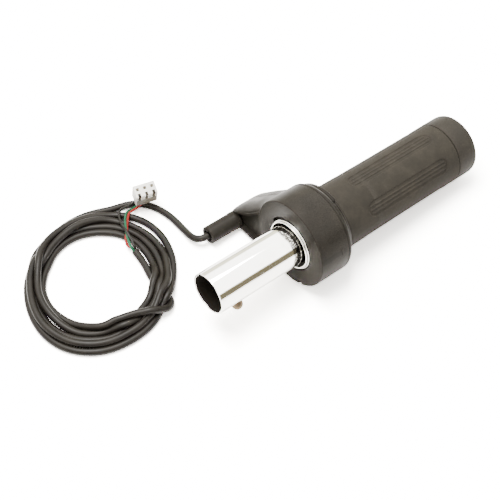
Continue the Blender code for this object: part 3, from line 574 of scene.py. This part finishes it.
# the bore's near-black colour is painted shade, standing in for the dark inside of the tube
bore, bore_shader = new_material("bore_painted_shade", (0.010, 0.0085, 0.0070), 0.75, 0.2)
bore_shader.inputs["Specular IOR Level"].default_value = 0.05
skin((bore, bore_shader), metal, pit_color=(0.020, 0.012, 0.007), streak_size=900.0,
     streak_depth=0.5, pits=0.8, smudge=0.8)
give(tube, chrome)
tube.data.materials.append(bore)
for face in tube.data.polygons:
    inside = sqrt(face.center.y ** 2 + face.center.z ** 2) < 10.2 * MM
    face.material_index = 1 if inside and 0.3 * MM < face.center.x < 157.4 * MM else 0
on_tube(tube, "housing", "chrome", "bar_tube")

# ---- snap button -------------------------------------------------------------------------------
# The domed steel button stands 4 mm out of its hole in the tube, pushed by the leaf clip inside,
# and springs into the hole of the handlebar's socket.
dome = [(15.3 - 2.8 * (1 - cos(i / 12 * pi / 2)), 2.9 * sin(i / 12 * pi / 2)) for i in range(13)]
button = turned_piece("button_domed", dome + [(9.2, 2.9), (9.0, 4.0), (8.2, 4.0), (8.2, 0)], 64,
                      False)
button.data.transform(Matrix.Translation((12.5 * MM, 0, 0))
                      @ Matrix.Rotation(BUTTON_ANGLE - pi / 2, 4, "X")
                      @ Matrix.Rotation(-pi / 2, 4, "Y"))
shade(button, 35)
button_steel, button_shader = new_material("button_steel", (0.105, 0.080, 0.050), 0.26, 1.0)
skin((button_steel, button_shader), metal, pit_color=(0.10, 0.06, 0.03), pits=0.9, smudge=0.6,
     streak_depth=0.1)
give(button, button_steel)
on_tube(button, "button", "chrome", "snap_button")
spring_steel, spring_shader = new_material("spring_steel", (0.55, 0.54, 0.51), 0.28, 1.0)
skin((spring_steel, spring_shader), metal, pit_color=(0.12, 0.10, 0.08), streak_size=1500.0,
     streak_depth=0.2, pits=0.4, smudge=0.5)
give(nodes["return_spring"], spring_steel)

# ---- leaf clip ---------------------------------------------------------------------------------
# A bent leaf of spring steel, 6 mm wide and 0.5 mm thick, lies across the tube's bore.  Its one
# leg pushes the button outwards and its other leg rests on the far wall; a real clip closes as it is
# pressed, but this one is built only in its open shape.
LEG = 7.85
BACK = -8.7
clip_line = [(8.5, LEG), (12.7, LEG), (17.0, LEG), (26.5, 5.2)]
for i in range(17):
    turn = pi / 2 - i / 16 * pi
    clip_line.append((36.0 + 2.5 * cos(turn), 2.5 * sin(turn)))
clip_line += [(28.0, -5.6), (20.0, BACK), (14.0, BACK), (8.5, BACK)]
clip_mesh = bpy.data.meshes.new("clip_leaf")
bm = bmesh.new()
rows = [[bm.verts.new(((station - 12.5) * MM, side * 3.0 * MM, height * MM)) for side in (-1, 1)]
        for station, height in clip_line]
for first, second in zip(rows, rows[1:]):
    bm.faces.new((first[0], second[0], second[1], first[1]))
bmesh.ops.recalc_face_normals(bm, faces=bm.faces)
bm.to_mesh(clip_mesh)
bm.free()
clip = bpy.data.objects.new("clip_leaf", clip_mesh)
bpy.context.scene.collection.objects.link(clip)
apply_modifier(clip, "SOLIDIFY", thickness=0.5 * MM, offset=0.0)
soften(clip, 0.12, 2, 60)
clip.data.transform(Matrix.Translation((12.5 * MM, 0, 0))
                    @ Matrix.Rotation(BUTTON_ANGLE - pi / 2, 4, "X"))
shade(clip, 50)
give(clip, spring_steel)
on_tube(clip, "housing", "spring_steel", "snap_clip")
push = -Vector((0, cos(BUTTON_ANGLE), sin(BUTTON_ANGLE)))
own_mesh(clip)

# ---- retaining ring ----------------------------------------------------------------------------
# Two turns of bright round wire lie round the tube in the recess of the drum's front face.
ring_curve = bpy.data.curves.new("ring_line", "CURVE")
ring_curve.dimensions = "3D"
ring_curve.bevel_depth = 0.46 * MM
ring_curve.bevel_resolution = 5
ring_curve.use_fill_caps = True
spline = ring_curve.splines.new("NURBS")
spline.points.add(96)
for i, point in enumerate(spline.points):
    part = i / 96
    turn = radians(-105) + part * 4 * pi
    out = 12.75 + 0.95 * part
    point.co = ((50.9 + 1.75 * part) * MM, (out * cos(turn) - 0.55 * part) * MM,
                (out * sin(turn) + 0.25 * part) * MM, 1)
spline.order_u = 4
spline.use_endpoint_u = True
ring_line = bpy.data.objects.new("ring_line", ring_curve)
bpy.context.scene.collection.objects.link(ring_line)
only(ring_line)
bpy.ops.object.convert(target="MESH")
ring = bpy.context.object
ring.name = "ring_wire"
shade(ring, 60)
ring_wire, ring_shader = new_material("ring_bright_wire", (0.86, 0.85, 0.81), 0.10, 1.0)
skin((ring_wire, ring_shader), metal, pit_color=(0.14, 0.12, 0.08), pits=0.6, smudge=0.4)
give(ring, ring_wire)
on_tube(ring, "housing", "spring_steel", "retaining_ring")

# ---- drum and horn -----------------------------------------------------------------------------
# Front cup of the switch drum, injection moulded in one with the cable horn and its boss, in
# black satin plastic.  The horn's front edge is rolled over and its web lies back under the lip.
drum = turned_piece("drum_front", [
    (70.0, 24.4), (52.9, 24.4), (52.45, 24.28), (52.2, 23.95), (52.2, 15.5), (52.35, 15.2),
    (54.4, 15.2), (54.4, 11.4), (60.5, 11.4), (60.5, 13.4), (56.8, 13.4), (56.8, 22.2),
    (70.0, 22.2)], 192)

CREST = [(18.0, 15.0), (20.9, 11.9), (24.6, 8.2), (28.9, 4.0), (35.8, -3.2), (40.2, -7.9),
         (44.0, -12.8), (46.4, -16.4), (46.9, -19.8), (45.7, -22.7), (42.6, -24.1), (38, -24.1),
         (28, -24.0), (16, -23.5), (5, -22.8)]
BROW = [(16.6, 16.4), (19.0, 11.6), (21.8, 6.6), (25.2, 1.4), (32.0, -6.0), (36.9, -9.9),
        (41.4, -13.0), (44.9, -16.2), (46.0, -19.8), (44.9, -22.2), (42.3, -23.4), (38, -23.4),
        (28, -23.3), (16, -22.8), (5, -22.1)]


def ring_of(points, pieces=9):
    """A smooth open line through (across, up) points, with as many steps between each two."""
    knots = [Vector(p) for p in [points[0]] + points + [points[-1]]]
    result = []
    for a, b, c, d in zip(knots, knots[1:], knots[2:], knots[3:]):
        for i in range(pieces):
            t = i / pieces
            result.append(0.5 * (2 * b + (c - a) * t + (2 * a - 5 * b + 4 * c - d) * t ** 2
                                 + (3 * b - a - 3 * c + d) * t ** 3))
    return result + [knots[-1]]


def inset_of(points, depth):
    """The same outline, moved inwards by a depth that fades out at its two ends."""
    result = [points[0]]
    last = len(points) - 1
    for k in range(1, last):
        along = (points[k + 1] - points[k - 1]).normalized()
        fade = min(k / 9, (last - k) / 9, 1.0)
        result.append(points[k] + Vector((along.y, -along.x)) * depth * fade)
    return result + [points[-1]]


def lofted(name, layers):
    """Skin over (station, outline) layers, closed at both ends."""
    bm = bmesh.new()
    rows = [[bm.verts.new((station * MM, p.x * MM, p.y * MM)) for p in outline]
            for station, outline in layers]
    for here, after in zip(rows, rows[1:]):
        for k in range(len(here)):
            n = (k + 1) % len(here)
            bm.faces.new((here[k], after[k], after[n], here[n]))
    bm.faces.new(rows[0])
    bm.faces.new(list(reversed(rows[-1])))
    bmesh.ops.recalc_face_normals(bm, faces=bm.faces)
    mesh = bpy.data.meshes.new(name)
    bm.to_mesh(mesh)
    bm.free()
    obj = bpy.data.objects.new(name, mesh)
    bpy.context.scene.collection.objects.link(obj)
    return obj


crest = ring_of(CREST)
brow = ring_of(BROW)
layers = [(52.35, inset_of(brow, 0.6)), (52.45, inset_of(brow, 0.15))]
for i in range(13):
    turn = i / 12 * pi / 2
    mix = sin(turn)
    layers.append((58.6 - 6.0 * cos(turn), [b.lerp(c, mix) for b, c in zip(brow, crest)]))
layers += [(61.0, crest), (62.8, crest), (63.0, inset_of(crest, 0.2))]
horn = lofted("horn_front", layers)
pocket = lofted("horn_pocket", [(50.0, inset_of(brow, 1.2)), (52.6, inset_of(brow, 1.3)),
                                (55.0, inset_of(brow, 1.7)), (55.4, inset_of(brow, 2.2))])
cut(pocket, bar("drum_side", 24.0, 45, 60, 0, 0, 192))
cut(horn, pocket)
cut(drum, horn, "UNION")
boss = turned_piece("boss", [
    (53.6, 0), (53.6, 5.0), (52.2, 5.1), (50.8, 5.15), (50.2, 4.9), (34.7, 4.9), (34.35, 4.78),
    (34.2, 4.5), (34.2, 0)], 96, False, 42.5, -20.9)
cut(drum, boss, "UNION")
cut(drum, bar("boss_bore", 3.3, 30, 51.0, 42.5, -20.9))
cut(drum, spoke("grub_hole", 2.4, 14, 30, 56.4, BUTTON_ANGLE))
cut(drum, spoke("rim_notch", 1.5, 22.6, 30, 52.2, radians(244)))
cut(drum, block("moulding_mark", (0.9, 3.4, 0.5), (0, 0, 24.35),
                Matrix.Translation((65.9 * MM, 0, 0)) @ Matrix.Rotation(radians(164.3 - 90), 4, "X")),
    "UNION")
shade(drum, 32)
satin, satin_shader = new_material("black_satin_plastic", (0.0150, 0.0133, 0.0110), 0.36)
satin_shader.inputs["Specular IOR Level"].default_value = 0.045
skin((satin, satin_shader), moulded, grain_size=2300.0, grain_depth=0.22, wear=0.35, dust=0.20)
give(drum, satin)
on_tube(drum, "housing", "black_plastic", "housing_front")

# the lid closes the horn from behind; its joint with the front shell shows as a fine dark line
lid_layers = [(63.3, inset_of(crest, 0.3)), (63.5, inset_of(crest, 0.1)), (64.5, crest)]
for i in range(9):
    turn = i / 8 * pi / 2
    lid_layers.append((67.8 + 2.8 * sin(turn), inset_of(crest, 2.8 * (1 - cos(turn)))))
lid = lofted("horn_lid", lid_layers)
cut(lid, bar("lid_limit", 24.7, 55, 75, 0, 0, 192))
shade(lid, 35)
give(lid, satin)
on_tube(lid, "housing", "black_plastic", "lead_cover")

# ---- rear cover --------------------------------------------------------------------------------
# The drum's rear cover, stepped down to the grip in a collar, with a raised shoulder on the
# horn's side; two small pan head screws hold it from behind.
rear = turned_piece("drum_rear", [
    (77.0, 18.3), (76.8, 18.7), (76.5, 19.4), (75.9, 20.3), (74.6, 20.9), (74.2, 21.2),
    (73.9, 22.0), (73.2, 22.9), (72.2, 23.9), (71.6, 24.3), (71.2, 24.4), (70.5, 24.4),
    (70.3, 24.2), (70.3, 14.0), (77.0, 14.0)], 192)
sector = [Vector((22.6 * cos(radians(a)), 22.6 * sin(radians(a)))) for a in range(13, 105, 3)]
sector += [Vector((17.9 * cos(radians(a)), 17.9 * sin(radians(a)))) for a in range(104, 12, -3)]
shoulder = lofted("shoulder", [(72.0, sector), (75.9, sector)])
soften(shoulder, 0.5, 3, 50)
cut(rear, shoulder, "UNION")
shade(rear, 32)
give(rear, satin)
on_tube(rear, "housing", "black_plastic", "housing_rear")

# ---- screws and the pieces inside the drum -------------------------------------------------------
# Black oxide screws; the set screw that clamps the drum to the tube sits in its small bore.
# Inside are the throttle tube, its magnets, the sensor on its board and the three inner wires.
oxide, oxide_shader = new_material("black_oxide_steel", (0.10, 0.10, 0.10), 0.38, 1.0)
skin((oxide, oxide_shader), metal, pit_color=(0.03, 0.025, 0.02), pits=0.6, smudge=0.8,
     streak_depth=0.2)
for name in ("lead_cover_screw", "cover_screw_1", "cover_screw_2", "clamp_screw"):
    give(nodes[name], oxide)
plain, plain_shader = new_material("inner_black_plastic", (0.03, 0.03, 0.03), 0.5)
skin((plain, plain_shader), moulded, grain_size=1500.0, grain_depth=0.3, dust=0.1)
give(nodes["throttle_tube"], plain)
nickel, nickel_shader = new_material("nickel_plate", (0.6, 0.58, 0.54), 0.22, 1.0)
skin((nickel, nickel_shader), metal, pits=0.3, smudge=0.4)
give(nodes["magnet_1"], nickel)
give(nodes["magnet_2"], nickel)
board, board_shader = new_material("green_board", (0.02, 0.12, 0.05), 0.4)
board_skin = skin((board, board_shader), moulded, worn_color=(0.5, 0.45, 0.25), wear=0.3, dust=0.1)
flat = add(board.node_tree, "TexCoord", {}).outputs["Object"]
tracks = add(board.node_tree, "TexBrick", {
    "Vector": flat, "Scale": 420.0, "Color1": (0.02, 0.12, 0.05, 1), "Color2": (0.025, 0.15, 0.06, 1),
    "Mortar": (0.10, 0.26, 0.10, 1), "Mortar Size": 0.06})
board.node_tree.links.new(tracks.outputs["Color"], board_skin.inputs["Color"])
give(nodes["sensor_board"], board)
epoxy, epoxy_shader = new_material("sensor_epoxy", (0.022, 0.022, 0.024), 0.55)
skin((epoxy, epoxy_shader), moulded, grain_size=6000.0, grain_depth=0.4, wear=0.1, dust=0.1)
give(nodes["hall_sensor"], epoxy)
give(nodes["cable_bushing"], jacket)
give(nodes["lead_black"], bpy.data.materials["wire_black_vinyl"])
give(nodes["lead_red"], bpy.data.materials["wire_red_vinyl"])
give(nodes["lead_green"], bpy.data.materials["wire_green_vinyl"])

# ---- rubber sleeve -----------------------------------------------------------------------------
# Moulded rubber grip, 34.6 mm across, with six long round-ended panels sunk into it, each with
# three fine ribs along it.
PANEL_MIDDLES = [radians(85.3 + 60 * i) for i in range(6)]
PANEL_HALF = radians(13.7)
PANEL_START = 92.3
PANEL_END = 149.7
PANEL_DEPTH = 0.5
stations = [77.4, 77.5, 77.75, 78.1, 79.5, 82.0, 85.0, 88.0, 90.5]
stations += list(np.arange(91.6, 98.0, 0.2)) + list(np.arange(98.0, 144.0, 2.0))
stations += list(np.arange(144.0, 150.6, 0.2)) + [152.0, 154.0, 156.0, 157.2, 157.55, 157.72, 157.8]
angles = []
for middle in PANEL_MIDDLES:
    angles += list(middle + np.linspace(-1.12, 1.12, 76) * PANEL_HALF)
    angles += list(middle + np.linspace(1.12 * PANEL_HALF, radians(60) - 1.12 * PANEL_HALF, 14)[1:-1])
radii = np.interp(stations, [77.4, 77.5, 77.75, 78.1, 84, 96, 118, 150, 157.2, 157.55, 157.72, 157.8],
                  [17.2, 17.5, 17.7, 17.72, 17.55, 17.4, 17.3, 17.25, 17.35, 17.3, 17.15, 16.9])
bm = bmesh.new()
rows = []
for station, radius in zip(stations, radii):
    row = []
    for angle in angles:
        depth = 0.0
        for middle in PANEL_MIDDLES:
            off = (angle - middle + pi) % (2 * pi) - pi
            if abs(off) > PANEL_HALF * 1.2:
                continue
            side = off * 17.3
            half = PANEL_HALF * 17.3
            along = max(PANEL_START + half - station, station - PANEL_END + half, 0.0)
            edge = half - sqrt(side ** 2 + along ** 2)
            sink = min(max(edge / 0.45 + 0.5, 0.0), 1.0)
            depth = PANEL_DEPTH * sink * sink * (3 - 2 * sink)
            rib_room = min(max((edge - 0.9) / 0.5, 0.0), 1.0)
            for rib in (-6.5, 0.0, 6.5):
                rib_off = (side - radians(rib) * 17.3) / 0.34
                depth -= 0.42 * rib_room * exp(-rib_off ** 2)
        out = radius - depth
        row.append(bm.verts.new((station * MM, out * cos(angle) * MM, out * sin(angle) * MM)))
    rows.append(row)
for station, out in ((157.8, 13.75), (77.4, 13.75)):
    rows.append([bm.verts.new((station * MM, out * cos(a) * MM, out * sin(a) * MM)) for a in angles])
for here, after in zip(rows, rows[1:] + rows[:1]):
    for k in range(len(here)):
        n = (k + 1) % len(here)
        bm.faces.new((here[k], after[k], after[n], here[n]))
bmesh.ops.recalc_face_normals(bm, faces=bm.faces)
sleeve_mesh = bpy.data.meshes.new("sleeve_ribbed")
bm.to_mesh(sleeve_mesh)
bm.free()
sleeve = bpy.data.objects.new("sleeve_ribbed", sleeve_mesh)
bpy.context.scene.collection.objects.link(sleeve)
shade(sleeve, 50)
rubber, rubber_shader = new_material("grip_rubber", (0.0300, 0.0272, 0.0228), 0.62)
rubber_shader.inputs["Specular IOR Level"].default_value = 0.03
skin((rubber, rubber_shader), moulded, grain_size=1900.0, grain_depth=0.45, wear=0.25, dust=0.30)
give(sleeve, rubber)
on_tube(sleeve, "grip", "grip_rubber", "grip_sleeve")

# ---- end cap -----------------------------------------------------------------------------------
# A matte moulded cap, pressed into the tube; a narrow groove parts it from the sleeve.
cap = turned_piece("cap_moulded", [
    (172.0, 0), (172.0, 14.6), (171.9, 15.5), (171.5, 16.3), (170.9, 16.9), (170.0, 17.25),
    (169.0, 17.35), (158.8, 17.35), (158.4, 17.25), (158.2, 16.95), (158.2, 9.8), (149.0, 9.8),
    (148.0, 8.8), (148.0, 0)], 160, False)
shade(cap, 32)
cap_plastic, cap_shader = new_material("cap_plastic", (0.0245, 0.0220, 0.0186), 0.5)
cap_shader.inputs["Specular IOR Level"].default_value = 0.06
skin((cap_plastic, cap_shader), moulded, grain_size=2700.0, grain_depth=0.40, wear=0.3, dust=0.25)
give(cap, cap_plastic)
on_tube(cap, "housing", "cap_plastic", "end_cap")

# ---- table -------------------------------------------------------------------------------------
# A sheet of white card with a faint fibre.  It shows brighter than it lights the pieces, so it
# stays pure white round them, with only the softest shadows.
bpy.ops.mesh.primitive_plane_add(size=4.0, location=(0, 0, 0))
table = bpy.context.object
table.name = "table"
paper, paper_shader = new_material("white_paper", (0.93, 0.92, 0.90), 0.9)
paper_shader.inputs["Specular IOR Level"].default_value = 0.0
sheet = paper.node_tree
fibre = add(sheet, "TexNoise", {"Vector": add(sheet, "TexCoord", {}).outputs["Object"],
                                "Scale": 1400.0, "Detail": 4.0}).outputs[0]
tone = mixed(sheet, fibre, (0.915, 0.905, 0.885, 1), (0.945, 0.935, 0.915, 1))
sight = add(sheet, "LightPath", {}).outputs
seen = maths(sheet, "MAXIMUM", sight["Is Camera Ray"],
             maths(sheet, "MULTIPLY", sight["Is Glossy Ray"], 0.25))
bright = mixed(sheet, 1.0, tone, (5.6, 5.6, 5.6, 1), "MULTIPLY")
sheet.links.new(mixed(sheet, seen, tone, bright), paper_shader.inputs["Base Color"])
give(table, paper)

# ---- studio ------------------------------------------------------------------------------------
# A white room with a dull olive floor line low all round, and one wide soft box nearly overhead
# that lays short, soft, warm shadows round the pieces.
world = bpy.data.worlds.new("studio")
bpy.context.scene.world = world
world.use_nodes = True
room = world.node_tree
toward = add(room, "TexCoord", {}).outputs["Generated"]
rise = add(room, "SeparateXYZ", {0: toward}).outputs[2]
ragged = add(room, "TexNoise", {"Vector": toward, "Scale": 7.0, "Detail": 3.0}).outputs[0]
rise = maths(room, "ADD", rise, window(room, ragged, 0.3, 0.7, -0.03, 0.03))
low = maths(room, "MULTIPLY", window(room, rise, -0.03, 0.0), window(room, rise, 0.50, 0.42))
across = add(room, "SeparateXYZ", {0: toward}).outputs[1]
wall = mixed(room, window(room, across, -0.10, 0.10), (0.30, 0.26, 0.155, 1), (2.6, 2.5, 1.9, 1))
skirting = maths(room, "MULTIPLY", window(room, across, 0.0, 0.1), window(room, rise, 0.07, 0.05))
wall = mixed(room, skirting, wall, (0.10, 0.09, 0.07, 1))
mirrored = mixed(room, low, (7.5, 7.4, 7.1, 1), wall)
sight = add(room, "LightPath", {}).outputs
seen = mixed(room, sight["Is Glossy Ray"], (1.15, 1.13, 1.10, 1), mirrored)
seen = mixed(room, sight["Is Camera Ray"], seen, (6.0, 5.95, 5.85, 1))
room.links.new(seen, room.nodes["Background"].inputs["Color"])
room.nodes["Background"].inputs["Strength"].default_value = 1.0
softbox_light = bpy.data.lights.new("softbox", "AREA")
softbox_light.shape = "RECTANGLE"
softbox_light.size = 0.6
softbox_light.size_y = 0.45
softbox_light.energy = 27.0
softbox_light.color = (1.0, 0.98, 0.945)
softbox = bpy.data.objects.new("softbox", softbox_light)
softbox.location = (-0.14, 0.16, 0.95)
softbox.rotation_mode = "QUATERNION"
softbox.rotation_quaternion = (-softbox.location).to_track_quat("-Z", "Y")
bpy.context.scene.collection.objects.link(softbox)
